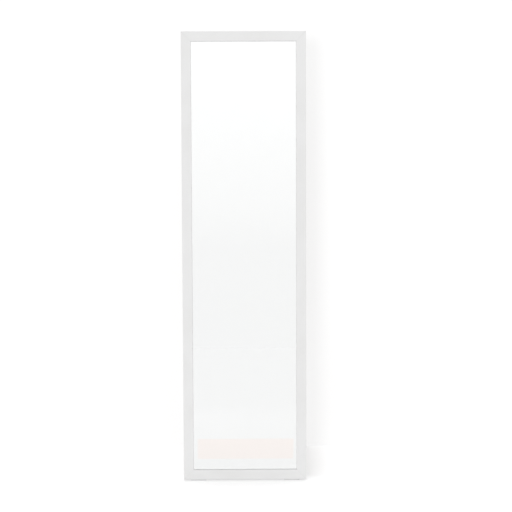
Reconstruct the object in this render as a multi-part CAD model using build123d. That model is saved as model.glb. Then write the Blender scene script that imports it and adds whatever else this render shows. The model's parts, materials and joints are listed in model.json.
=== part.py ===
from build123d import *

from math import cos, hypot, radians, sin
import os

# Free-standing floor mirror with a folding easel stand.
#
# Row frame: +Z up, the glass faces -Y, the origin is on the floor under the middle of the bounding box.
# Pieces are drawn in the mirror's own upright frame: x across, y from the front face back, z up from the
# bottom edge. place_mirror() then leans them back, and place_stand() also swings the stand open.

os.makedirs("parts", exist_ok=True)

# ---------------------------------------------------------------- driving dimensions (mm, degrees)
FRAME_W = 400.0  # overall width of the frame
FRAME_H = 1450.0  # overall height along its face
FACE = 32.0  # width of the moulding's front face
DEPTH = 22.0  # moulding, front to back
LEAN = 7.0  # how far the mirror leans back when it stands
OPENING = 14.0  # angle between the mirror and its stand

# moulding
LIP = 5.0  # thickness in front of the glass
RABBET = 6.0  # how far the face reaches over the glass and its pocket
SIGHT_BEVEL = 1.0
EDGE_ROUND = 1.5

# layers in the rabbet, front to back, and how far each stays clear of the rabbet's walls
POCKET_W = FRAME_W - 2 * (FACE - RABBET)
POCKET_H = FRAME_H - 2 * (FACE - RABBET)
GLASS_T, GLASS_GAP, GLASS_BEVEL = 3.0, 2.0, 0.4
CARD_T, CARD_GAP = 1.0, 3.0
BOARD_T, BOARD_GAP = 3.0, 1.0
CARD_FRONT = LIP + GLASS_T
BOARD_BACK = CARD_FRONT + CARD_T + BOARD_T

# spring-steel points that hold the layers in
POINT_LONG, POINT_WIDE, POINT_T = 15.0, 11.0, 0.5
POINT_BITE = 6.0  # length driven into the wood
POINT_TAPER = 3.0
POINTS_PER_STILE, POINTS_PER_RAIL = 8, 2
POINT_END_GAP = 120.0  # from the frame's end to the first point on a stile
POINT_RAIL_X = 85.0

# V-shaped nails across the mitres
NAIL_LEG, NAIL_T, NAIL_TALL = 5.0, 0.8, 10.0
NAIL_SUNK = 0.3
NAIL_PLACES = (7.5, 17.5)  # from the outer corner, along each side

# hinge batten and stand
STAND_W = 384.0
BATTEN_H, BATTEN_T = 44.0, 13.0
BAR_ROUND = 1.5
HINGE_Z = 1225.0
JOINT_GAP = 1.5  # between the batten and the stand's top rail
LEG_W = 28.0
LEG_T = 12.0
RAIL_H = 44.0
LOWER_RAIL_Z = 405.0  # middle of the lower rail with the stand folded
STAND_BACK = DEPTH + BATTEN_T
STAND_FRONT = STAND_BACK - LEG_T
LEG_X = STAND_W / 2 - LEG_W / 2
RAIL_L = STAND_W - 2 * LEG_W
TOP_RAIL_Z = HINGE_Z - JOINT_GAP / 2 - RAIL_H / 2

# butt hinges
HINGE_X = 110.0
HINGE_L = 50.0
LEAF_W, LEAF_T = 19.0, 1.2
BARREL_R, PIN_R = 2.6, 1.2
PIN_HEAD_R, PIN_HEAD_T = 1.9, 0.6
KNUCKLES, KNUCKLE_GAP = 5, 0.3
BARREL_LIFT = 0.4  # between the barrel and the wood
PRESS_CLEARANCE, RUNNING_CLEARANCE = 0.01, 0.05
LEAF_NOTCH = 0.8  # past the barrel
LEAF_CORNER = 2.0
LEAF_SCREWS = ((-17.0, 9.0), (0.0, 13.5), (17.0, 9.0))  # along the pin, away from the pin
HINGE_Y = STAND_BACK + BARREL_R + BARREL_LIFT

# webbing strap that limits the opening, and its two plates
STRAP_W, STRAP_T = 25.0, 1.6
TAB_L = 30.0  # length held under each plate
STRAP_LOW_Z = 359.0  # middle of the tab on the backing board
PLATE_W, PLATE_H, PLATE_T = 30.0, 20.0, 1.2
PLATE_CORNER = 3.0
RIVET_X = 7.5
RIVET_R, RIVET_HEAD_R, RIVET_HEAD_T = 1.9, 3.6, 1.3
RIVET_TAIL_R, RIVET_TAIL_T = 3.0, 0.8
CARD_RELIEF = 0.6  # round a rivet's tail

# fasteners: shank diameter, length, head diameter
BATTEN_SCREW = (4.0, 28.0, 8.0)
LEAF_SCREW = (2.8, 9.5, 5.4)
JOINT_SCREW = (4.5, 50.0, 7.6)
STRAP_SCREW = (3.2, 9.5, 7.0)
BATTEN_CROSS, LEAF_CROSS, JOINT_CROSS, STRAP_CROSS = (4.0, 1.6), (3.0, 1.1), (3.8, 1.8), (3.5, 1.1)
PAN_HEAD_RATIO = 0.22  # height of a pan head for its diameter
DOME = 0.8  # how much of a domed head's height is rounded
SCREW_TIP_R = 0.2
CROSS_RATIO = 5  # length of a driver slot for its width
DOWEL_R, DOWEL_L, DOWEL_OFFSET = 3.0, 30.0, 14.0
DOWEL_CHAMFER = 0.6
CAP_R, CAP_T = 5.0, 1.3
BATTEN_SCREW_X, BATTEN_SCREW_OFFSET = 182.0, 12.0

# feet
PAD_MIN = 2.0  # rubber under the frame's rear edge
PAD_X, PAD_W = 152.0, 50.0
PAD_INSET = 4.0  # from the front and the back of the frame
REAR_PAD_T = 3.0
PAD_ROUND = 0.8
BUMPER_R, BUMPER_T = 5.0, 0.7
BUMPER_X, BUMPER_ZS = 182.0, (70.0, 640.0)

SIDES = {"left": -1, "right": 1}
TOP = (Align.CENTER, Align.CENTER, Align.MAX)
BOTTOM = (Align.CENTER, Align.CENTER, Align.MIN)
FROM_FRONT = (Align.CENTER, Align.MIN, Align.CENTER)
TO_BACK = Rot(X=-90)  # turns a piece's +Z to point out of the back
TO_FRONT = Rot(X=90)


def outward(sign):
    """Turns a piece's +Z to point out of the left or the right side."""
    return Rot(Y=90 * sign)


# ---------------------------------------------------------------- placing
HINGE = Pos(0, HINGE_Y, HINGE_Z)
RISE = DEPTH * sin(radians(LEAN)) + PAD_MIN
SWING = HINGE * Rot(X=OPENING) * HINGE.inverse()
STAND_LEAN = Pos(0, 0, RISE) * Rot(X=-LEAN)


def place_mirror(piece):
    return STAND_LEAN * piece


def place_stand(piece):
    return STAND_LEAN * SWING * piece


def opened(y, z):
    """Where a point (y, z) of the folded stand is in the mirror's frame once the stand is open."""
    dy, dz, turn = y - HINGE_Y, z - HINGE_Z, radians(OPENING)
    return HINGE_Y + dy * cos(turn) - dz * sin(turn), HINGE_Z + dy * sin(turn) + dz * cos(turn)


# ---------------------------------------------------------------- shared shapes
def bar(width, thick, height, round_axis):
    """A planed bar with its long edges rounded, centred on x and z, from y = 0 back."""
    solid = Box(width, thick, height, align=FROM_FRONT)
    return fillet(solid.edges().filter_by(round_axis), BAR_ROUND)


def prism(plane, points, toward, length):
    """The outline through (x, y) points of a plane, extruded along a direction."""
    return extrude(plane * Polygon(*points, align=None), length, dir=toward)


def rounded_plate(width, thick, height, corner):
    """A flat plate with rounded corners, centred on x and z, from y = 0 back."""
    solid = Box(width, thick, height, align=FROM_FRONT)
    return fillet(solid.edges().filter_by(Axis.Y), corner)


def cross_recess(size, depth):
    """The cross that a driver fits in, cut down from z = 0."""
    slot = Box(size, size / CROSS_RATIO, depth, align=TOP)
    return slot + Rot(Z=90) * slot


def countersunk_screw(shank_d, length, head_d):
    """Its head's top is at z = 0 and it points down -Z. Returns the plain body, which also cuts its hole."""
    head_h = (head_d - shank_d) / 2
    tip = shank_d
    body = Cone(shank_d / 2, head_d / 2, head_h, align=TOP)
    body += Pos(0, 0, -head_h) * Cylinder(shank_d / 2, length - head_h - tip, align=TOP)
    return body + Pos(0, 0, tip - length) * Cone(SCREW_TIP_R, shank_d / 2, tip, align=TOP)


def dome(radius, height):
    """A low domed head or cap, from z = 0 up."""
    solid = Cylinder(radius, height, align=BOTTOM)
    return fillet(solid.edges().sort_by(Axis.Z)[-1], height * DOME)


def pan_screw(shank_d, length, head_d):
    """A domed head above z = 0 and a pointed shank below it."""
    head = dome(head_d / 2, head_d * PAN_HEAD_RATIO)
    tip = shank_d
    shank = Cylinder(shank_d / 2, length - tip, align=TOP)
    return head + shank + Pos(0, 0, tip - length) * Cone(SCREW_TIP_R, shank_d / 2, tip, align=TOP)


def recessed(screws, recesses):
    """Screws as one group, each with its driver recess cut."""
    return Compound([screw - recess for screw, recess in zip(screws, recesses)])


def cut_all(piece, cutters):
    for cutter in cutters:
        piece = piece - cutter
    return piece


# ---------------------------------------------------------------- the frame's moulding
def moulding(length):
    """A straight stick: x from its outer edge to its sight edge, y from front to back, z along it."""
    outline = Polygon(
        (0, 0),
        (FACE - SIGHT_BEVEL, 0),
        (FACE, SIGHT_BEVEL),
        (FACE, LIP),
        (FACE - RABBET, LIP),
        (FACE - RABBET, DEPTH),
        (0, DEPTH),
        align=None,
    )
    outer = outline.vertices().group_by(Axis.X)[0]
    return extrude(fillet(outer, EDGE_ROUND), length)


def mitre_prism(length):
    """Keeps what lies between the two mitres of a stick, drawn like moulding()."""
    corners = [(0, 0), (FACE, FACE), (FACE, length - FACE), (0, length)]
    return prism(Plane.XZ, corners, (0, 1, 0), DEPTH)


def stick(length):
    return moulding(length) & mitre_prism(length)


def make_stile():
    """The left stile."""
    return Pos(-FRAME_W / 2, 0, 0) * stick(FRAME_H)


def make_bottom_rail():
    return Pos(FRAME_W / 2, 0, 0) * Rot(Y=-90) * stick(FRAME_W)


def make_v_nails():
    """Two across each mitre, driven in from the back, each open towards the frame's corner."""
    leg = Box(NAIL_LEG, NAIL_TALL, NAIL_T, align=(Align.MIN, Align.MAX, Align.MIN))
    upright = Box(NAIL_T, NAIL_TALL, NAIL_LEG, align=(Align.MIN, Align.MAX, Align.MIN))
    nail = leg + upright
    nails = []
    for x_side in (-1, 1):
        for z_side in (-1, 1):
            turn = Rot(Y={(-1, -1): 0, (-1, 1): 90, (1, 1): 180, (1, -1): 270}[x_side, z_side])
            for inset in NAIL_PLACES:
                x = x_side * (FRAME_W / 2 - inset)
                z = FRAME_H / 2 + z_side * (FRAME_H / 2 - inset)
                nails.append(Pos(x, DEPTH - NAIL_SUNK, z) * turn * nail)
    return nails


def make_points():
    """Spring-steel points: driven into the rabbet's wall, lying on the backing board."""
    half = POINT_WIDE / 2
    outline = [
        (-POINT_BITE, 0),
        (POINT_TAPER - POINT_BITE, half),
        (POINT_LONG - POINT_BITE, half),
        (POINT_LONG - POINT_BITE, -half),
        (POINT_TAPER - POINT_BITE, -half),
    ]
    point = Pos(0, BOARD_BACK, 0) * prism(Plane.XZ, outline, (0, 1, 0), POINT_T)
    wall_x = FRAME_W / 2 - FACE + RABBET
    wall_z = FACE - RABBET
    step = (FRAME_H - 2 * POINT_END_GAP) / (POINTS_PER_STILE - 1)
    points = []
    for i in range(POINTS_PER_STILE):
        z = POINT_END_GAP + i * step
        points += [Pos(-wall_x, 0, z) * point, Pos(wall_x, 0, z) * Rot(Y=180) * point]
    for i in range(POINTS_PER_RAIL):
        x = (2 * i - 1) * POINT_RAIL_X
        points += [Pos(x, 0, wall_z) * Rot(Y=-90) * point]
        points += [Pos(x, 0, FRAME_H - wall_z) * Rot(Y=90) * point]
    return points


# ---------------------------------------------------------------- hinges
def knuckle_spans():
    """(middle, length) along the pin of each knuckle."""
    pitch = HINGE_L / KNUCKLES
    return [((i + 0.5) * pitch - HINGE_L / 2, pitch - KNUCKLE_GAP) for i in range(KNUCKLES)]


def leaf(first_knuckle, bore_clearance, up):
    """A leaf with every second knuckle, its pin axis along x through the origin, lying up or down from it."""
    plate_y = -BARREL_R - BARREL_LIFT
    plate = Pos(0, plate_y, 0) * Box(
        HINGE_L - KNUCKLE_GAP, LEAF_T, LEAF_W, align=(Align.CENTER, Align.MIN, Align.MIN)
    )
    corners = plate.edges().filter_by(Axis.Y).group_by(Axis.Z)[-1]
    plate = fillet(corners, LEAF_CORNER)
    for i, (middle, length) in enumerate(knuckle_spans()):
        if i % 2 == first_knuckle:
            plate += Pos(middle, 0, 0) * Rot(Y=90) * Cylinder(BARREL_R, length)
        else:
            notch = 2 * (BARREL_R + LEAF_NOTCH)
            plate -= Pos(middle, 0, 0) * Box(length + 2 * KNUCKLE_GAP, 4 * BARREL_R, notch)
    plate -= Rot(Y=90) * Cylinder(PIN_R + bore_clearance, 2 * HINGE_L)
    if not up:
        plate = mirror(plate, about=Plane.XY)
    return plate


def make_pin():
    shank = Cylinder(PIN_R, HINGE_L + KNUCKLE_GAP)
    head = Cylinder(PIN_HEAD_R, PIN_HEAD_T, align=BOTTOM)
    head = chamfer(head.edges().sort_by(Axis.Z)[-1], PIN_HEAD_T / 2)
    end = HINGE_L / 2 + KNUCKLE_GAP / 2
    pin = shank + Pos(0, 0, end) * head + Pos(0, 0, -end) * Rot(X=180) * head
    return Rot(Y=90) * pin


def leaf_screw_places(up):
    """Middle of each screw's head, from the hinge's pin axis."""
    y = LEAF_T - BARREL_R - BARREL_LIFT
    return [Pos(x, y, z if up else -z) * TO_BACK for x, z in LEAF_SCREWS]


# ---------------------------------------------------------------- strap
def thickened(points, thick):
    """The outline of a band of one thickness along a line of (y, z) points, with mitred bends."""
    sides = [[], []]
    for i, (y, z) in enumerate(points):
        normals = []
        for start, end in zip(points[max(i - 1, 0) : i + 1], points[max(i, 1) : i + 2]):
            run = hypot(end[0] - start[0], end[1] - start[1])
            normals.append(((start[1] - end[1]) / run, (end[0] - start[0]) / run))
        normal_y, normal_z = (sum(parts) for parts in zip(*normals))
        offset = thick / 2 * len(normals) / (normal_y**2 + normal_z**2)
        for side, sign in zip(sides, (1, -1)):
            side.append((y + sign * offset * normal_y, z + sign * offset * normal_z))
    return sides[0] + sides[1][::-1]


def strap_line():
    """The strap's middle line in the mirror's frame: up the board, across the gap, up the stand's rail."""
    on_board = BOARD_BACK + STRAP_T / 2
    on_rail = STAND_FRONT - STRAP_T / 2
    return [
        (on_board, STRAP_LOW_Z - TAB_L / 2),
        (on_board, STRAP_LOW_Z + TAB_L / 2),
        opened(on_rail, LOWER_RAIL_Z - TAB_L / 2),
        opened(on_rail, LOWER_RAIL_Z + TAB_L / 2),
    ]


def make_strap():
    band = prism(Plane.YZ, thickened(strap_line(), STRAP_T), (1, 0, 0), STRAP_W)
    return Pos(-STRAP_W / 2, 0, 0) * band


def make_rivet():
    """Head above z = 0; it goes through the plate, the strap and the board, and is spread behind them."""
    grip = PLATE_T + STRAP_T + BOARD_T
    shank = Cylinder(RIVET_R, grip, align=TOP)
    tail = Pos(0, 0, -grip) * Cylinder(RIVET_TAIL_R, RIVET_TAIL_T, align=TOP)
    return dome(RIVET_HEAD_R, RIVET_HEAD_T) + shank + tail


def strap_fixings():
    """The rivets through the backing board and the screws into the stand's lower rail, not yet placed."""
    low_y = BOARD_BACK + STRAP_T + PLATE_T
    high_y = STAND_FRONT - STRAP_T - PLATE_T
    low = [Pos(sign * RIVET_X, low_y, STRAP_LOW_Z) * TO_BACK for sign in SIDES.values()]
    high = [Pos(sign * RIVET_X, high_y, LOWER_RAIL_Z) * TO_FRONT for sign in SIDES.values()]
    recess = Pos(0, 0, STRAP_SCREW[2] * PAN_HEAD_RATIO) * cross_recess(*STRAP_CROSS)
    rivets = [place * make_rivet() for place in low]
    screws = [place * pan_screw(*STRAP_SCREW) for place in high]
    return rivets, screws, [place * recess for place in high]


# ---------------------------------------------------------------- feet
def make_front_pad(x):
    """A rubber wedge that fills the angle between the leaning frame and the floor, placed already."""
    lean = radians(LEAN)
    depths = (PAD_INSET + EDGE_ROUND, DEPTH - PAD_INSET - EDGE_ROUND)
    upper = [(depth * cos(lean), RISE - depth * sin(lean)) for depth in depths]
    outline = [(upper[0][0], 0), (upper[1][0], 0), upper[1], upper[0]]
    pad = Pos(x - PAD_W / 2, 0, 0) * prism(Plane.YZ, outline, (1, 0, 0), PAD_W)
    return fillet(pad.edges().filter_by(Axis.Z), PAD_ROUND)


def cut_at_floor(leg):
    """The placed leg, with its foot cut level where its rubber pad begins."""
    below = Box(4 * FRAME_W, 4 * FRAME_W, 4 * FRAME_W, align=TOP)
    return leg - Pos(0, 0, REAR_PAD_T) * below


def make_rear_pad(leg):
    """A rubber pad of the leg's own section, under its level foot."""
    foot = leg.faces().sort_by(Axis.Z)[0]
    return extrude(foot, amount=REAR_PAD_T, dir=(0, 0, -1))


# ---------------------------------------------------------------- groups of nodes
def glazing_nodes(rivets):
    """The three sheets in the rabbet. The strap's rivets go through the board and spread in the card."""

    def sheet(front, thick, gap):
        across, up = POCKET_W - 2 * gap, POCKET_H - 2 * gap
        return Pos(0, front, FRAME_H / 2) * Box(across, thick, up, align=FROM_FRONT)

    glass = sheet(LIP, GLASS_T, GLASS_GAP)
    glass = chamfer(glass.edges().filter_by(Axis.Y, reverse=True), GLASS_BEVEL)
    relief = TO_BACK * Cylinder(RIVET_TAIL_R + CARD_RELIEF, 2 * CARD_T)
    reliefs = [Pos(sign * RIVET_X, CARD_FRONT + CARD_T / 2, STRAP_LOW_Z) * relief for sign in SIDES.values()]
    return {
        "mirror_glass": place_mirror(glass),
        "packing_card": place_mirror(cut_all(sheet(CARD_FRONT, CARD_T, CARD_GAP), reliefs)),
        "backing_board": place_mirror(cut_all(sheet(CARD_FRONT + CARD_T, BOARD_T, BOARD_GAP), rivets)),
    }


def batten_screw_places():
    z = HINGE_Z + JOINT_GAP / 2 + BATTEN_H / 2
    return [
        Pos(x_sign * BATTEN_SCREW_X, STAND_BACK, z + z_sign * BATTEN_SCREW_OFFSET) * TO_BACK
        for x_sign in SIDES.values()
        for z_sign in (-1, 1)
    ]


def frame_nodes(batten_screws):
    """Four mitred sticks and what is driven into them."""
    nails, points = make_v_nails(), make_points()
    stile = cut_all(make_stile(), nails + points + batten_screws)
    right = cut_all(mirror(make_stile(), about=Plane.YZ), nails + points + batten_screws)
    rail = make_bottom_rail()
    top = mirror(rail, about=Plane.XY.offset(FRAME_H / 2))
    return {
        "frame_left_stile": place_mirror(stile),
        "frame_right_stile": place_mirror(right),
        "frame_bottom_rail": place_mirror(cut_all(rail, nails + points)),
        "frame_top_rail": place_mirror(cut_all(top, nails + points)),
        "mitre_v_nails": place_mirror(Compound(nails)),
        "retaining_points": place_mirror(Compound(points)),
    }


def hinge_nodes():
    """Two butt hinges. Returns their nodes and the screws of the mirror's and the stand's leaves."""
    nodes = {}
    screw, recess = countersunk_screw(*LEAF_SCREW), cross_recess(*LEAF_CROSS)
    screws = {"mirror": [], "stand": []}
    recesses = {"mirror": [], "stand": []}
    for side, sign in SIDES.items():
        centre = HINGE * Pos(sign * HINGE_X, 0, 0)
        nodes[f"{side}_hinge_pin"] = place_mirror(centre * make_pin())
        for body, name, first, clearance, place_body in (
            ("mirror", "fixed", 0, PRESS_CLEARANCE, place_mirror),
            ("stand", "moving", 1, RUNNING_CLEARANCE, place_stand),
        ):
            up = body == "mirror"
            places = [centre * place for place in leaf_screw_places(up)]
            plate = cut_all(centre * leaf(first, clearance, up), [place * screw for place in places])
            nodes[f"{side}_hinge_{name}_leaf"] = place_body(plate)
            screws[body] += [place * screw for place in places]
            recesses[body] += [place * recess for place in places]
    nodes["hinge_screws_mirror"] = place_mirror(recessed(screws["mirror"], recesses["mirror"]))
    nodes["hinge_screws_stand"] = place_stand(recessed(screws["stand"], recesses["stand"]))
    return nodes, screws


def batten_nodes(screws, hinge_screws):
    z = HINGE_Z + JOINT_GAP / 2 + BATTEN_H / 2
    batten = Pos(0, DEPTH, z) * bar(STAND_W, BATTEN_T, BATTEN_H, Axis.X)
    recesses = [place * cross_recess(*BATTEN_CROSS) for place in batten_screw_places()]
    return {
        "hinge_batten": place_mirror(cut_all(batten, screws + hinge_screws)),
        "batten_screws": place_mirror(recessed(screws, recesses)),
    }


def strap_nodes(rivets, screws, recesses):
    plate = rounded_plate(PLATE_W, PLATE_T, PLATE_H, PLATE_CORNER)
    low_plate = Pos(0, BOARD_BACK + STRAP_T, STRAP_LOW_Z) * plate
    high_plate = Pos(0, STAND_FRONT - STRAP_T - PLATE_T, LOWER_RAIL_Z) * plate
    strap = cut_all(place_mirror(make_strap()), [place_mirror(rivet) for rivet in rivets])
    return {
        "strap_plate_mirror": place_mirror(cut_all(low_plate, rivets)),
        "strap_rivets": place_mirror(Compound(rivets)),
        "strap_plate_stand": place_stand(cut_all(high_plate, screws)),
        "strap_screws": place_stand(recessed(screws, recesses)),
        "webbing_strap": cut_all(strap, [place_stand(screw) for screw in screws]),
    }


def stand_joints():
    """The dowels, screws, screw recesses and caps where the rails meet the legs."""
    dowels, screws, recesses, caps = [], [], [], []
    dowel = Cylinder(DOWEL_R, DOWEL_L)
    dowel = chamfer(dowel.edges().filter_by(GeomType.CIRCLE), DOWEL_CHAMFER)
    middle_y = STAND_FRONT + LEG_T / 2
    for sign in SIDES.values():
        for z in (TOP_RAIL_Z, LOWER_RAIL_Z):
            face = Pos(sign * STAND_W / 2, middle_y, z) * outward(sign)
            screws.append(face * countersunk_screw(*JOINT_SCREW))
            recesses.append(face * cross_recess(*JOINT_CROSS))
            caps.append(face * dome(CAP_R, CAP_T))
            for offset in (-DOWEL_OFFSET, DOWEL_OFFSET):
                dowels.append(Pos(sign * RAIL_L / 2, middle_y, z + offset) * outward(sign) * dowel)
    return dowels, screws, recesses, caps


def stand_nodes(hinge_screws, strap_screws):
    """Two legs and two rails, dowelled and screwed, with a rubber pad under each leg."""
    nodes = {}
    dowels, screws, recesses, caps = stand_joints()
    leg_top = HINGE_Z - JOINT_GAP / 2
    leg_length = leg_top + RISE + DEPTH
    for side, sign in SIDES.items():
        leg = Pos(sign * LEG_X, STAND_FRONT, leg_top - leg_length / 2) * bar(LEG_W, LEG_T, leg_length, Axis.Z)
        leg = cut_at_floor(place_stand(cut_all(leg, dowels + screws)))
        nodes[f"stand_{side}_leg"] = leg
        nodes[f"{side}_rear_foot_pad"] = make_rear_pad(leg)
    for name, z, fixings in (("top", TOP_RAIL_Z, hinge_screws), ("lower", LOWER_RAIL_Z, strap_screws)):
        rail = Pos(0, STAND_FRONT, z) * bar(RAIL_L, LEG_T, RAIL_H, Axis.X)
        nodes[f"stand_{name}_rail"] = place_stand(cut_all(rail, dowels + screws + fixings))
    nodes["stand_dowels"] = place_stand(Compound(dowels))
    nodes["stand_joint_screws"] = place_stand(recessed(screws, recesses))
    nodes["screw_caps"] = place_stand(Compound(caps))
    return nodes


def rest_nodes():
    """Wedge pads under the frame, and felt dots that the folded legs lie on."""
    dot = TO_BACK * Cylinder(BUMPER_R, BUMPER_T, align=BOTTOM)
    dots = [Pos(sign * BUMPER_X, DEPTH, z) * dot for sign in SIDES.values() for z in BUMPER_ZS]
    nodes = {f"{side}_front_foot_pad": make_front_pad(sign * PAD_X) for side, sign in SIDES.items()}
    nodes["felt_dots"] = place_mirror(Compound(dots))
    return nodes


def assemble():
    """Every node by name, with the floor at z = 0 and the origin under the middle of the box."""
    rivets, strap_screws, strap_recesses = strap_fixings()
    batten_screws = [place * countersunk_screw(*BATTEN_SCREW) for place in batten_screw_places()]
    nodes, leaf_screws = hinge_nodes()
    nodes |= glazing_nodes(rivets)
    nodes |= frame_nodes(batten_screws)
    nodes |= batten_nodes(batten_screws, leaf_screws["mirror"])
    nodes |= strap_nodes(rivets, strap_screws, strap_recesses)
    nodes |= stand_nodes(leaf_screws["stand"], strap_screws)
    nodes |= rest_nodes()
    whole = Compound(list(nodes.values())).bounding_box()
    shift = Pos(0, -(whole.min.Y + whole.max.Y) / 2, 0)
    return {name: shift * piece for name, piece in nodes.items()}, shift, whole.size


NODES, SHIFT, SIZE = assemble()
HINGE_POINT = (SHIFT * STAND_LEAN * HINGE).position

if __name__ == "__main__":
    for name, piece in NODES.items():
        export_step(piece, f"parts/{name}.step")
    print("nodes", len(NODES), "size", SIZE, "hinge at", HINGE_POINT)
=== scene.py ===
import json
import math

import bmesh
import bpy
from mathutils import Matrix, Vector


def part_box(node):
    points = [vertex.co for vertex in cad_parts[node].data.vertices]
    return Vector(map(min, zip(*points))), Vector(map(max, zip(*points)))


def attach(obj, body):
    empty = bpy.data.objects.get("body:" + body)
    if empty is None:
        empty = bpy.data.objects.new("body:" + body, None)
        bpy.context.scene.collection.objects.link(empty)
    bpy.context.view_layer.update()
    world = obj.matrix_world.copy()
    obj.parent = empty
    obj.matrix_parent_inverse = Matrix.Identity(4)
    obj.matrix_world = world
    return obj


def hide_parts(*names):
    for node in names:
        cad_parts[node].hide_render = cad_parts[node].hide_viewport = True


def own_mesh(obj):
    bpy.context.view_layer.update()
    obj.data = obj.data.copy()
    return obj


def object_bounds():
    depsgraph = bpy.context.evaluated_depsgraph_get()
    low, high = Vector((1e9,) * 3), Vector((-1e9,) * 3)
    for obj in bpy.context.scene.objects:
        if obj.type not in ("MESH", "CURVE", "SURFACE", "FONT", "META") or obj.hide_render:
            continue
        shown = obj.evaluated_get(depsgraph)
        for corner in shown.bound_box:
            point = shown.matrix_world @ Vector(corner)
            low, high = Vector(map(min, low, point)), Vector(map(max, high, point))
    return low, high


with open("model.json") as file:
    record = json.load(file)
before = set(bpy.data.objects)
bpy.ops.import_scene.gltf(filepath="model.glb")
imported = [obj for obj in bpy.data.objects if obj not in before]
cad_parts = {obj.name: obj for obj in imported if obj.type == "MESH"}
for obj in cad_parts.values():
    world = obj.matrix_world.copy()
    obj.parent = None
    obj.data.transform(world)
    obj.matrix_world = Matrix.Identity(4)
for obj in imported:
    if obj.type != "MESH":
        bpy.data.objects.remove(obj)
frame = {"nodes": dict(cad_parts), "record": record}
CAD_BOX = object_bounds()

# Looks of a leaning floor mirror on a hinged stand.
# Everything is in metres, in the frame of the CAD model: +Z up, the glass faces -Y.

# ---------------------------------------------------------------- places, from the frame
STILE_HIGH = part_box("frame_left_stile")[1]
GLASS_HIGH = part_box("mirror_glass")[1]
PLATE_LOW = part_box("strap_plate_mirror")
PLATE_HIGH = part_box("strap_plate_stand")
FOOT_Y = CAD_BOX[0][1]  # the front of the frame's foot

FRAME_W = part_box("frame_bottom_rail")[1].x * 2
FRAME_H = 1.450  # along the leaning face
FACE = 0.032  # width of the moulding's face
DEPTH = 0.022  # of the moulding, front to back
LIP = 0.005  # from the face to the glass
RABBET = 0.006  # how far the face reaches over the glass and the gap round it
PLATE_HALF = 0.0006  # half a strap plate's thickness
LEAN = math.radians(7)
OPENING = math.radians(14)
UP = Vector((0, math.sin(LEAN), math.cos(LEAN)))  # up along the leaning mirror
BACK = Vector((0, math.cos(LEAN), -math.sin(LEAN)))  # out of its back
STAND_UP = Matrix.Rotation(OPENING, 3, "X") @ UP
STAND_BACK = Matrix.Rotation(OPENING, 3, "X") @ BACK


def face_foot():
    """The middle of the face's bottom edge.

    A stile's top is highest at its front edge, and furthest back at its rear edge.
    """
    front_top = STILE_HIGH.y - DEPTH * BACK.y
    return Vector((0, front_top - FRAME_H * UP.y, STILE_HIGH.z - FRAME_H * UP.z))


CORNER = face_foot()

# ---------------------------------------------------------------- camera
CAMERA_AT = (0.0084, -4.195, 1.5276)
CAMERA_PITCH = math.radians(10.96)
CAMERA_YAW = math.radians(0.41)
CAMERA_ROLL = math.radians(-0.169)
CAMERA_LENS = 91.4


def make_camera():
    camera = bpy.data.objects.new("camera", bpy.data.cameras.new("camera"))
    bpy.context.scene.collection.objects.link(camera)
    camera.data.lens = CAMERA_LENS
    turn = Matrix.Rotation(-CAMERA_YAW, 4, "Z") @ Matrix.Rotation(math.radians(90) - CAMERA_PITCH, 4, "X")
    camera.matrix_world = Matrix.Translation(CAMERA_AT) @ turn @ Matrix.Rotation(CAMERA_ROLL, 4, "Z")
    bpy.context.scene.camera = camera


# ---------------------------------------------------------------- node helpers
class Finish:
    """A Principled material and short ways to add the nodes that drive it."""

    def __init__(self, name, **sockets):
        self.material = bpy.data.materials.new(name)
        self.material.use_nodes = True
        self.tree = self.material.node_tree
        self.shader = self.tree.nodes["Principled BSDF"]
        self.output = self.tree.nodes["Material Output"]
        for socket, value in sockets.items():
            self.shader.inputs[socket.replace("_", " ")].default_value = value

    def node(self, kind, inputs=(), **settings):
        """Adds a node. inputs pairs a socket's name or number with a value or another socket."""
        made = self.tree.nodes.new(kind)
        for setting, value in settings.items():
            setattr(made, setting, value)
        for socket, value in dict(inputs).items():
            if isinstance(value, bpy.types.NodeSocket):
                self.tree.links.new(value, made.inputs[socket])
            else:
                made.inputs[socket].default_value = value
        return made

    def link(self, value, socket):
        self.tree.links.new(value, self.shader.inputs[socket])

    def place(self, turn=(0, 0, 0), stretch=(1, 1, 1)):
        """Object coordinates, turned and then stretched."""
        where = self.node("ShaderNodeTexCoord").outputs["Object"]
        turned = self.node("ShaderNodeMapping", {"Vector": where, "Rotation": turn}).outputs[0]
        return self.node("ShaderNodeMapping", {"Vector": turned, "Scale": stretch}).outputs[0]

    def noise(self, place, scale, detail=2.0, roughness=0.5):
        inputs = {"Vector": place, "Scale": scale, "Detail": detail, "Roughness": roughness}
        return self.node("ShaderNodeTexNoise", inputs).outputs["Fac"]

    def math(self, operation, first, second=0.0, third=0.0):
        return self.node(
            "ShaderNodeMath", {0: first, 1: second, 2: third}, operation=operation
        ).outputs[0]

    def fit(self, value, low, high, to_low=0.0, to_high=1.0):
        """Maps low..high to to_low..to_high, clamped."""
        inputs = {"Value": value, "From Min": low, "From Max": high, "To Min": to_low, "To Max": to_high}
        return self.node("ShaderNodeMapRange", inputs).outputs[0]

    def band(self, value, start, full, fall, end):
        """Rises from 0 to 1 between start and full, and falls back to 0 between fall and end."""
        return self.math("MULTIPLY", self.fit(value, start, full), self.fit(value, fall, end, 1, 0))

    def mix(self, factor, first, second):
        made = self.node("ShaderNodeMix", data_type="RGBA")
        values = (made.inputs["Factor"], factor), (made.inputs[6], first), (made.inputs[7], second)
        for socket, value in values:
            if isinstance(value, bpy.types.NodeSocket):
                self.tree.links.new(value, socket)
            else:
                socket.default_value = value
        return made.outputs[2]

    def bump(self, height, distance, strength=1.0, normal=None):
        inputs = {"Height": height, "Distance": distance, "Strength": strength}
        if normal is not None:
            inputs["Normal"] = normal
        return self.node("ShaderNodeBump", inputs).outputs[0]


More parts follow.
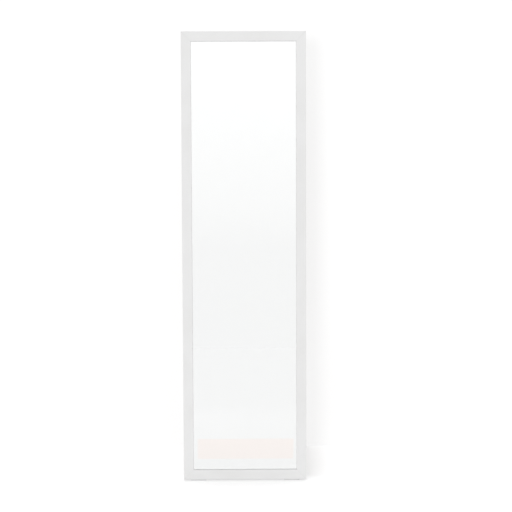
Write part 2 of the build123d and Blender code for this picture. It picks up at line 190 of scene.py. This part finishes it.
def grey(value, alpha=1.0):
    return (value, value, value, alpha)


# ---------------------------------------------------------------- finishes
WHITE = (0.743, 0.743, 0.743, 1)
WHITE_LOW = (0.722, 0.721, 0.718, 1)
# darker colour along the mitre hairlines, painted shade for their fine gaps; then the hairline's half width
# and the painted shade's strength
SEAM_SHADE_COLOUR = (0.45, 0.44, 0.42, 1)
SEAM_HALF, SEAM_SHADE_STRENGTH = 0.00025, 0.3


def mitre_seam(finish):
    """1 on the hairline of the four mitres, in the leaning face's own coordinates."""
    where = finish.node("ShaderNodeTexCoord").outputs["Object"]
    moved = finish.node("ShaderNodeVectorMath", {0: where, 1: -CORNER}, operation="ADD").outputs[0]
    split = finish.node("ShaderNodeSeparateXYZ", {0: moved})
    up = finish.node("ShaderNodeVectorMath", {0: moved, 1: UP}, operation="DOT_PRODUCT").outputs["Value"]
    from_side = finish.math("SUBTRACT", FRAME_W / 2, finish.math("ABSOLUTE", split.outputs["X"]))
    from_end = finish.math("MINIMUM", up, finish.math("SUBTRACT", FRAME_H, up))
    off = finish.math("ABSOLUTE", finish.math("SUBTRACT", from_side, from_end))
    return finish.fit(off, SEAM_HALF, 3 * SEAM_HALF, 1.0, 0.0)


def frame_paint():
    """Satin white paint sprayed on fibreboard: faint orange peel, slow mottling, hairline mitres with a
    bumped groove and a darker colour that is painted shade.
    """
    finish = Finish("frame_paint", Roughness=0.4, Coat_Weight=0.15, Coat_Roughness=0.3)
    place = finish.place()
    slow = finish.noise(place, 9, 3)
    fine = finish.noise(place, 700, 3, 0.6)
    seam = mitre_seam(finish)
    colour = finish.mix(finish.fit(slow, 0.35, 0.65), WHITE_LOW, WHITE)
    # painted shade: darkens the colour along the mitre hairlines
    colour = finish.mix(finish.math("MULTIPLY", seam, SEAM_SHADE_STRENGTH), colour, SEAM_SHADE_COLOUR)
    finish.link(colour, "Base Color")
    finish.link(finish.fit(finish.noise(place, 60, 4), 0.3, 0.7, 0.36, 0.46), "Roughness")
    peel = finish.bump(fine, 0.00004, 0.6)
    finish.link(finish.bump(finish.math("SUBTRACT", 1.0, seam), 0.0003, 0.7, peel), "Normal")
    return finish.material


def stand_paint(name, turn, stretch):
    """Satin white paint on planed pine: the grain shows through as long shallow ridges."""
    finish = Finish(name, Roughness=0.45)
    grain_place = finish.place(turn, stretch)
    place = finish.place()
    grain = finish.noise(grain_place, 1.0, 4, 0.6)
    brush = finish.noise(grain_place, 3.1, 2, 0.5)
    colour = finish.mix(finish.fit(grain, 0.35, 0.62), (0.72, 0.716, 0.705, 1), (0.775, 0.773, 0.768, 1))
    finish.link(colour, "Base Color")
    finish.link(finish.fit(finish.noise(place, 45, 3), 0.3, 0.7, 0.4, 0.52), "Roughness")
    ridges = finish.bump(grain, 0.00035, 0.8)
    finish.link(finish.bump(brush, 0.00012, 0.7, ridges), "Normal")
    return finish.material


def glass():
    finish = Finish(
        "mirror_glass",
        Base_Color=(0.985, 0.99, 0.988, 1),
        Roughness=0.0,
        IOR=1.52,
        Transmission_Weight=1.0,
    )
    ripple = finish.noise(finish.place(), 3.0, 1)
    finish.link(finish.bump(ripple, 0.00002, 0.2), "Normal")
    return finish.material


def silvering():
    finish = Finish("mirror_silvering", Base_Color=(0.88, 0.88, 0.88, 1), Metallic=1.0, Roughness=0.0)
    haze = finish.noise(finish.place(), 14.0, 3)
    finish.link(finish.mix(haze, (0.878, 0.88, 0.88, 1), (0.886, 0.888, 0.888, 1)), "Base Color")
    return finish.material


def hardboard():
    """Smooth-faced brown hardboard: pressed fibres, fine flecks and a faint screen on its back."""
    finish = Finish("hardboard", Roughness=0.62)
    place = finish.place()
    fibres = finish.noise(finish.place((0, 0, 0.6), (90, 90, 900)), 1.0, 5, 0.7)
    clouds = finish.noise(place, 7, 4, 0.6)
    flecks = finish.node("ShaderNodeTexVoronoi", {"Vector": place, "Scale": 420.0}).outputs["Distance"]
    colour = finish.mix(finish.fit(clouds, 0.3, 0.7), (0.17, 0.093, 0.05, 1), (0.25, 0.145, 0.082, 1))
    colour = finish.mix(finish.fit(fibres, 0.5, 0.72), colour, (0.33, 0.205, 0.12, 1))
    colour = finish.mix(finish.fit(flecks, 0.1, 0.25, 0.5, 0.0), colour, (0.09, 0.05, 0.03, 1))
    finish.link(colour, "Base Color")
    finish.link(finish.fit(fibres, 0.3, 0.7, 0.5, 0.75), "Roughness")
    mesh = {"Vector": place, "Scale": 90.0, "Distortion": 0.4}
    across = finish.node("ShaderNodeTexWave", mesh, bands_direction="X").outputs["Fac"]
    along = finish.node("ShaderNodeTexWave", mesh, bands_direction="Z").outputs["Fac"]
    screen = finish.bump(finish.math("MULTIPLY", across, along), 0.0002, 0.5)
    finish.link(finish.bump(fibres, 0.0001, 0.6, screen), "Normal")
    return finish.material


def card():
    """Grey-brown packing card."""
    finish = Finish("card", Roughness=0.9)
    place = finish.place()
    pulp = finish.noise(place, 260, 4, 0.7)
    finish.link(finish.mix(pulp, (0.34, 0.32, 0.28, 1), (0.5, 0.48, 0.43, 1)), "Base Color")
    finish.link(finish.bump(finish.noise(place, 900, 3), 0.0001, 0.5), "Normal")
    return finish.material


def steel(name, dark, light, rough_low, rough_high, stretch=(1, 1, 1)):
    """Plated steel: the plating's cloudiness and fine lines of rolling or polishing."""
    finish = Finish(name, Metallic=1.0, Roughness=0.3)
    clouds = finish.noise(finish.place(), 180, 4, 0.6)
    lines = finish.noise(finish.place((0, 0, 0), stretch), 600, 3, 0.6)
    finish.link(finish.mix(finish.fit(clouds, 0.3, 0.7), dark, light), "Base Color")
    finish.link(finish.fit(lines, 0.3, 0.7, rough_low, rough_high), "Roughness")
    finish.link(finish.bump(lines, 0.00003, 0.5), "Normal")
    return finish.material


def beech():
    finish = Finish("beech", Roughness=0.55)
    grain = finish.noise(finish.place((0, 0, 0), (60, 900, 900)), 1.0, 4, 0.6)
    finish.link(finish.mix(grain, (0.42, 0.26, 0.14, 1), (0.62, 0.43, 0.26, 1)), "Base Color")
    finish.link(finish.bump(grain, 0.0002, 0.5), "Normal")
    return finish.material


def cap_plastic():
    finish = Finish("cap_plastic", Roughness=0.38, Specular_IOR_Level=0.45)
    place = finish.place()
    finish.link(finish.mix(finish.noise(place, 400, 2), grey(0.77), grey(0.8)), "Base Color")
    finish.link(finish.bump(finish.noise(place, 1500, 2), 0.00003, 0.5), "Normal")
    return finish.material


def rubber():
    finish = Finish("pad_rubber", Roughness=0.75, Sheen_Weight=0.15)
    place = finish.place()
    specks = finish.noise(place, 1200, 3, 0.7)
    finish.link(finish.mix(specks, grey(0.7), grey(0.78)), "Base Color")
    finish.link(finish.bump(specks, 0.0001, 0.5), "Normal")
    return finish.material


def felt():
    finish = Finish("felt", Roughness=0.95, Sheen_Weight=0.6)
    place = finish.place()
    fuzz = finish.noise(place, 1400, 5, 0.8)
    finish.link(finish.mix(fuzz, grey(0.5), grey(0.72)), "Base Color")
    finish.link(finish.bump(fuzz, 0.0004, 0.8), "Normal")
    return finish.material


def webbing_yarn():
    """Off-white polypropylene yarn with a slight lengthwise variation of dye and sheen."""
    finish = Finish("webbing_yarn", Roughness=0.7, Sheen_Weight=0.35, Sheen_Roughness=0.4)
    strands = finish.noise(finish.place((0, 0, 0), (3000, 260, 260)), 1.0, 3, 0.6)
    finish.link(finish.mix(strands, (0.6, 0.585, 0.545, 1), (0.76, 0.75, 0.715, 1)), "Base Color")
    finish.link(finish.bump(strands, 0.00012, 0.7), "Normal")
    return finish.material


# ---------------------------------------------------------------- CAD nodes and their finishes
def dress_cad_nodes():
    upright = (LEAN, 0, 0)
    leaning_forward = (LEAN - OPENING, 0, 0)
    along_z = (150, 150, 2.5)
    along_x = (2.5, 150, 150)
    nickel = steel("nickel_steel", (0.62, 0.6, 0.56, 1), (0.74, 0.72, 0.68, 1), 0.2, 0.34, (0.08, 1, 1))
    zinc = steel("zinc_steel", (0.56, 0.57, 0.59, 1), (0.72, 0.73, 0.75, 1), 0.25, 0.42)
    spring = steel("spring_steel", (0.42, 0.43, 0.45, 1), (0.58, 0.59, 0.61, 1), 0.22, 0.35, (1, 1, 0.1))
    by_slot = {
        "frame_paint": frame_paint(),
        "mirror_glass": glass(),
        "card": card(),
        "hardboard": hardboard(),
        "spring_steel": spring,
        "zinc_steel": zinc,
        "nickel_steel": nickel,
        "beech": beech(),
        "cap_plastic": cap_plastic(),
        "pad_rubber": rubber(),
        "felt": felt(),
    }
    by_node = {
        "hinge_batten": stand_paint("batten_paint", upright, along_x),
        "stand_top_rail": stand_paint("rail_paint", leaning_forward, along_x),
        "stand_left_leg": stand_paint("leg_paint", leaning_forward, along_z),
    }
    by_node["stand_lower_rail"] = by_node["stand_top_rail"]
    by_node["stand_right_leg"] = by_node["stand_left_leg"]
    for part in frame["record"]["subparts"]:
        name = part["node"]
        finish = by_node.get(name) or by_slot.get(part["material_slot"])
        if finish is None:
            continue
        mesh = frame["nodes"][name].data
        mesh.materials.clear()
        mesh.materials.append(finish)


# ---------------------------------------------------------------- pieces
def make_piece(name, mesh, finish, body):
    """A new piece that rides on a body, with the finish it is given."""
    piece = bpy.data.objects.new(name, mesh)
    bpy.context.scene.collection.objects.link(piece)
    mesh.materials.append(finish)
    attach(piece, body)
    return piece


SILVER_INSET, SILVER_T = 0.0012, 0.00003  # in from the glass's edges, and thickness
SILVER_DEPTH = 0.0014  # behind the glass's front
POCKET_GAP = 0.002  # between the glass and the rabbet's walls


def make_silvering():
    """The reflecting layer, a thin plate inside the glass."""
    half_w = GLASS_HIGH.x - SILVER_INSET
    low = FACE - RABBET + POCKET_GAP + SILVER_INSET
    shape = bmesh.new()
    bmesh.ops.create_cube(shape, size=1.0)
    bmesh.ops.scale(shape, vec=(2 * half_w, SILVER_T, FRAME_H - 2 * low), verts=shape.verts)
    mesh = bpy.data.meshes.new("mirror_silvering")
    shape.to_mesh(mesh)
    shape.free()
    middle = CORNER + UP * (FRAME_H / 2) + BACK * (LIP + SILVER_DEPTH)
    mesh.transform(Matrix.Translation(middle) @ Matrix.Rotation(-LEAN, 4, "X"))
    return make_piece("mirror_silvering", mesh, silvering(), "mirror")


# ---------------------------------------------------------------- strap
STRAP_W, STRAP_T = 0.025, 0.0016
TAB = 0.030
STEP = 0.0005
BEND = 0.006  # length over which the strap turns at each end of its span
RIB, RIB_DEPTH = 0.0024, 0.0002  # the weave's pitch and relief
SELVEDGE, SELVEDGE_THIN = 0.0008, 0.55  # width of the thinner edge, and its thickness for the band's


def strap_path():
    """The strap's middle line from the CAD plates: tab on the board, span, tab on the stand's rail."""
    low = (PLATE_LOW[0] + PLATE_LOW[1]) / 2 - BACK * (STRAP_T / 2 + PLATE_HALF)
    high = (PLATE_HIGH[0] + PLATE_HIGH[1]) / 2 + STAND_BACK * (STRAP_T / 2 + PLATE_HALF)
    return [low - UP * TAB / 2, low + UP * TAB / 2, high - STAND_UP * TAB / 2, high + STAND_UP * TAB / 2]


def smooth_line(points, step):
    """Points step apart along straight runs whose corners are rounded by BEND."""
    line = []
    for i in range(len(points) - 1):
        start, end = points[i], points[i + 1]
        run = (end - start).length
        count = max(int(run / step), 2)
        line += [start.lerp(end, k / count) for k in range(count)]
    line.append(points[-1])
    reach = int(BEND / step / 2)
    out = []
    for k in range(len(line)):
        near = line[max(k - min(k, reach), 0) : k + min(reach, len(line) - 1 - k) + 1]
        out.append(sum(near, Vector()) / len(near))
    return out


def weave(along, across):
    """Relief of a herringbone webbing: diagonal ribs that change direction down the middle."""
    side = abs(across - STRAP_W / 2)
    return math.sin(2 * math.pi * (along + side) / RIB)


def band_mesh(name, line, start_along):
    """A woven band of STRAP_W by STRAP_T along a line of points in the YZ plane."""
    shape = bmesh.new()
    columns = int(STRAP_W / STEP)
    rings = []
    for k, here in enumerate(line):
        direction = (line[min(k + 1, len(line) - 1)] - line[max(k - 1, 0)]).normalized()
        normal = Vector((1, 0, 0)).cross(direction)
        along = start_along + k * STEP
        ring = []
        for face in (1, -1):
            for c in range(columns + 1):
                across = c * STRAP_W / columns
                if face < 0:
                    across = STRAP_W - across
                edge = min(across, STRAP_W - across) / SELVEDGE
                fullness = min(1.0, SELVEDGE_THIN + (1 - SELVEDGE_THIN) * edge)
                half = (STRAP_T / 2 - RIB_DEPTH) * fullness
                relief = RIB_DEPTH * weave(along, across) * min(1.0, edge)
                point = here + Vector((across - STRAP_W / 2, 0, 0)) + normal * face * (half + relief)
                ring.append(shape.verts.new(point))
        rings.append(ring)
    size = len(rings[0])
    for first, second in zip(rings, rings[1:]):
        for c in range(size):
            shape.faces.new((first[c], first[(c + 1) % size], second[(c + 1) % size], second[c]))
    shape.faces.new(rings[0][::-1])
    shape.faces.new(rings[-1])
    bmesh.ops.recalc_face_normals(shape, faces=shape.faces)
    for face in shape.faces:
        face.smooth = True
    mesh = bpy.data.meshes.new(name)
    shape.to_mesh(mesh)
    shape.free()
    return mesh


def make_strap():
    """Three lengths of one strap: a tab on each body, and the span between them."""
    yarn = webbing_yarn()
    line = smooth_line(strap_path(), STEP)
    tab = int(TAB / STEP)
    parts = (
        ("strap_tab_mirror", line[: tab + 1], 0, "mirror"),
        ("strap_span", line[tab : len(line) - tab], tab * STEP, "mirror"),
        ("strap_tab_stand", line[len(line) - tab - 1 :], (len(line) - tab - 1) * STEP, "stand"),
    )
    for name, points, start_along, body in parts:
        piece = make_piece(name, band_mesh(name, points, start_along), yarn, body)
        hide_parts("webbing_strap")
        if name == "strap_span":
            squash_span(piece)


def squash_span(piece):
    """Gives the span its own copy of its mesh."""
    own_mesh(piece)


# ---------------------------------------------------------------- stage
FLOOR_HALF = 25.0
FLOOR_ALBEDO, FLOOR_GLOW, POOL_GLOW = 0.6, 0.39, 0.46
POOL_EDGE = (-0.65, -0.3)  # where the brighter pool of light round the mirror begins

# shade on the floor, with places from the frame's side edges outward, and from its foot backward
UNDER_SHADE, UNDER_BACK, UNDER_OUT = 0.14, (-0.001, 0.005, 0.03, 0.05), (-0.002, 0.002)
FRONT_SHADE, FRONT_BACK, FRONT_OUT = 0.2, (-0.065, 0, 0, 0.02), (-0.005, 0.015)
RIGHT_SHADE, RIGHT_OUT, RIGHT_BACK = 0.42, (-0.1, -0.02, -0.01, 0.1), (-0.02, 0.05)

# warm patch on the floor: half width, how fast it narrows towards the mirror, soft edge, and its place in y
WARM_HALF, WARM_SPREAD, WARM_SOFT = 0.149, 0.038, 0.004
WARM_Y = (-1.73, -1.7, -0.855, -0.835)
WARM_TINT = (1.02, 0.96, 0.935)

WALL_GAP = 0.008
WALL_HALF, WALL_TALL = 3.0, 3.0
WALL_ALBEDO, WALL_GLOW = 0.25, 0.7


def plane(name, corners, finish):
    mesh = bpy.data.meshes.new(name)
    mesh.from_pydata(corners, [], [(0, 1, 2, 3)])
    mesh.materials.append(finish)
    made = bpy.data.objects.new(name, mesh)
    bpy.context.scene.collection.objects.link(made)
    return made


def floor_shade(finish, x, y):
    """How much of the floor's glow the mirror blocks: under its foot, in front of it and to its right."""
    right = finish.math("SUBTRACT", x, FRAME_W / 2)
    out = finish.math("SUBTRACT", finish.math("ABSOLUTE", x), FRAME_W / 2)
    back = finish.math("SUBTRACT", y, FOOT_Y)
    shades = (
        (UNDER_SHADE, finish.band(back, *UNDER_BACK), finish.fit(out, *UNDER_OUT, 1, 0)),
        (FRONT_SHADE, finish.band(back, *FRONT_BACK), finish.fit(out, *FRONT_OUT, 1, 0)),
        (RIGHT_SHADE, finish.band(right, *RIGHT_OUT), finish.fit(back, *RIGHT_BACK)),
    )
    blocked = 0.0
    for strength, first, second in shades:
        shade = finish.math("MULTIPLY", finish.math("MULTIPLY", first, second), strength)
        blocked = finish.math("MAXIMUM", blocked, shade)
    return blocked


def warm_patch(finish, x, y):
    """1 on the faint warm patch of floor whose reflection shows low in the glass."""
    spread = finish.math("MULTIPLY_ADD", y, WARM_SPREAD, finish.math("ABSOLUTE", x))
    inside = finish.fit(spread, WARM_HALF - WARM_SOFT, WARM_HALF + WARM_SOFT, 1, 0)
    return finish.math("MULTIPLY", inside, finish.band(y, *WARM_Y))


def floor_finish():
    """Plain white floor, a little brighter round the mirror, shaded at its foot and with the warm patch."""
    finish = Finish("floor", Roughness=0.9, Specular_IOR_Level=0.0)
    where = finish.node("ShaderNodeTexCoord").outputs["Object"]
    split = finish.node("ShaderNodeSeparateXYZ", {0: where})
    x, y = split.outputs["X"], split.outputs["Y"]

    glow = finish.fit(y, *POOL_EDGE, FLOOR_GLOW, POOL_GLOW)
    lit = finish.math("SUBTRACT", 1.0, floor_shade(finish, x, y))
    finish.link(finish.math("MULTIPLY", glow, lit), "Emission Strength")

    warm = warm_patch(finish, x, y)
    tint = [FLOOR_ALBEDO * level for level in WARM_TINT]
    finish.link(finish.mix(warm, grey(1.0), (*WARM_TINT, 1)), "Emission Color")
    finish.link(finish.mix(warm, grey(FLOOR_ALBEDO), (*tint, 1)), "Base Color")
    return finish.material


def wall_finish():
    """White wall, seen only from the front so that it never hides the mirror's back."""
    finish = Finish(
        "wall",
        Base_Color=grey(WALL_ALBEDO),
        Roughness=0.95,
        Specular_IOR_Level=0.0,
        Emission_Color=grey(1.0),
        Emission_Strength=WALL_GLOW,
    )
    clear = finish.node("ShaderNodeBsdfTransparent")
    behind = finish.node("ShaderNodeNewGeometry").outputs["Backfacing"]
    both = finish.node("ShaderNodeMixShader", {0: behind, 1: finish.shader.outputs[0], 2: clear.outputs[0]})
    finish.tree.links.new(both.outputs[0], finish.output.inputs["Surface"])
    return finish.material


def make_stage():
    """The floor, and the wall just behind the stand's feet. Gives the wall."""
    half = FLOOR_HALF
    plane("floor", [(-half, -half, 0), (half, -half, 0), (half, half, 0), (-half, half, 0)], floor_finish())
    y = CAD_BOX[1][1] + WALL_GAP
    back = y + WALL_TALL * math.tan(LEAN)
    half = WALL_HALF
    corners = [(-half, y, 0), (half, y, 0), (half, back, WALL_TALL), (-half, back, WALL_TALL)]
    wall = plane("wall", corners, wall_finish())
    wall.visible_diffuse = False
    wall.visible_glossy = False
    wall.visible_transmission = False
    wall.visible_shadow = False
    return wall


# ---------------------------------------------------------------- light
FRONT, BEHIND, ABOVE = 0.95, 0.66, 1.35  # brightness of the studio's three parts
HORIZON, HORIZON_BAND = 1.06, (0.03, 0.2)  # the front part brightens down to this at the floor's edge
FACED_STOPS = ((0.0, 1.055), (0.06, 1.062), (0.09, 1.1), (0.15, 1.14), (0.2, 1.18))  # height, brightness
FACED_WAY = (0, -1, 0.08)  # the middle of the part that the glass mirrors to someone in front of it

# cosines of the angles between which each part fades into the next
BEHIND_EDGE, ABOVE_EDGE, FACED_EDGE = (-0.6, 0.0), (0.5, 0.85), (0.88, 0.955)


class Sky:
    """Nodes of the world: a direction in, a brightness out."""

    def __init__(self):
        world = bpy.data.worlds.new("surroundings")
        bpy.context.scene.world = world
        world.use_nodes = True
        self.tree = world.node_tree
        self.way = self.tree.nodes.new("ShaderNodeTexCoord").outputs["Generated"]

    def toward(self, direction, low, high):
        """0 to 1 as the way looked turns toward direction, between two cosines."""
        facing = self.tree.nodes.new("ShaderNodeVectorMath")
        facing.operation = "DOT_PRODUCT"
        self.tree.links.new(self.way, facing.inputs[0])
        facing.inputs[1].default_value = Vector(direction).normalized()
        ramp = self.tree.nodes.new("ShaderNodeMapRange")
        ramp.interpolation_type = "SMOOTHSTEP"
        ramp.inputs["From Min"].default_value = low
        ramp.inputs["From Max"].default_value = high
        self.tree.links.new(facing.outputs["Value"], ramp.inputs["Value"])
        return ramp.outputs[0]

    def by_height(self, stops, top):
        """A ramp of brightness over the height looked at, as parts of top."""
        ramp = self.tree.nodes.new("ShaderNodeValToRGB")
        split = self.tree.nodes.new("ShaderNodeSeparateXYZ")
        self.tree.links.new(self.way, split.inputs[0])
        self.tree.links.new(split.outputs["Z"], ramp.inputs[0])
        elements = ramp.color_ramp.elements
        for i, (position, value) in enumerate(stops):
            stop = elements[i] if i < 2 else elements.new(position)
            stop.position = position
            stop.color = grey(value / top)
        return ramp.outputs[0]

    def mix(self, factor, first, second):
        made = self.tree.nodes.new("ShaderNodeMix")
        made.data_type = "RGBA"
        self.tree.links.new(factor, made.inputs["Factor"])
        for socket, value in ((made.inputs[6], first), (made.inputs[7], second)):
            if isinstance(value, bpy.types.NodeSocket):
                self.tree.links.new(value, socket)
            else:
                socket.default_value = value
        return made.outputs[2]


def make_world():
    """Soft white surroundings: bright above, a little dimmer behind, graded where the mirror looks."""
    sky = Sky()
    top = max(ABOVE, *(value for _, value in FACED_STOPS))
    colour = sky.mix(sky.toward((0, 0, 1), *HORIZON_BAND), grey(HORIZON / top), grey(FRONT / top))
    colour = sky.mix(sky.toward((0, -1, 0), *BEHIND_EDGE), grey(BEHIND / top), colour)
    colour = sky.mix(sky.toward((0, 0, 1), *ABOVE_EDGE), colour, grey(ABOVE / top))
    faced = sky.by_height(FACED_STOPS, top)
    colour = sky.mix(sky.toward(FACED_WAY, *FACED_EDGE), colour, faced)
    background = sky.tree.nodes["Background"]
    sky.tree.links.new(colour, background.inputs["Color"])
    background.inputs["Strength"].default_value = top


def softbox(name, size, energy, side, rise, distance, height):
    """A rectangular light that faces the mirror's middle line, side and rise degrees off its front."""
    side, rise = math.radians(side), math.radians(rise)
    data = bpy.data.lights.new(name, "AREA")
    data.shape = "RECTANGLE"
    data.size, data.size_y = size
    data.energy = energy
    light = bpy.data.objects.new(name, data)
    bpy.context.scene.collection.objects.link(light)
    out = Vector((math.sin(side) * math.cos(rise), -math.cos(side) * math.cos(rise), math.sin(rise)))
    light.location = Vector((0, 0, height)) + out * distance
    light.rotation_euler = out.to_track_quat("Z", "Y").to_euler()
    light.visible_glossy = False
    light.visible_transmission = False
    return light


def make_lights(wall):
    """A weak soft key, and a light that only the wall receives, for the mirror's shadow on it."""
    softbox("key", size=(0.7, 1.9), energy=2, side=-11, rise=14, distance=3.6, height=0.75)
    shadow = softbox("wall_key", size=(0.6, 0.7), energy=56, side=-8.5, rise=5, distance=3.6, height=1.4)
    only = bpy.data.collections.new("wall_only")
    only.objects.link(wall)
    shadow.light_linking.receiver_collection = only


# ---------------------------------------------------------------- all of it
bpy.context.scene.view_settings.view_transform = "Standard"
make_camera()
dress_cad_nodes()
make_silvering()
make_strap()
make_world()
make_lights(make_stage())
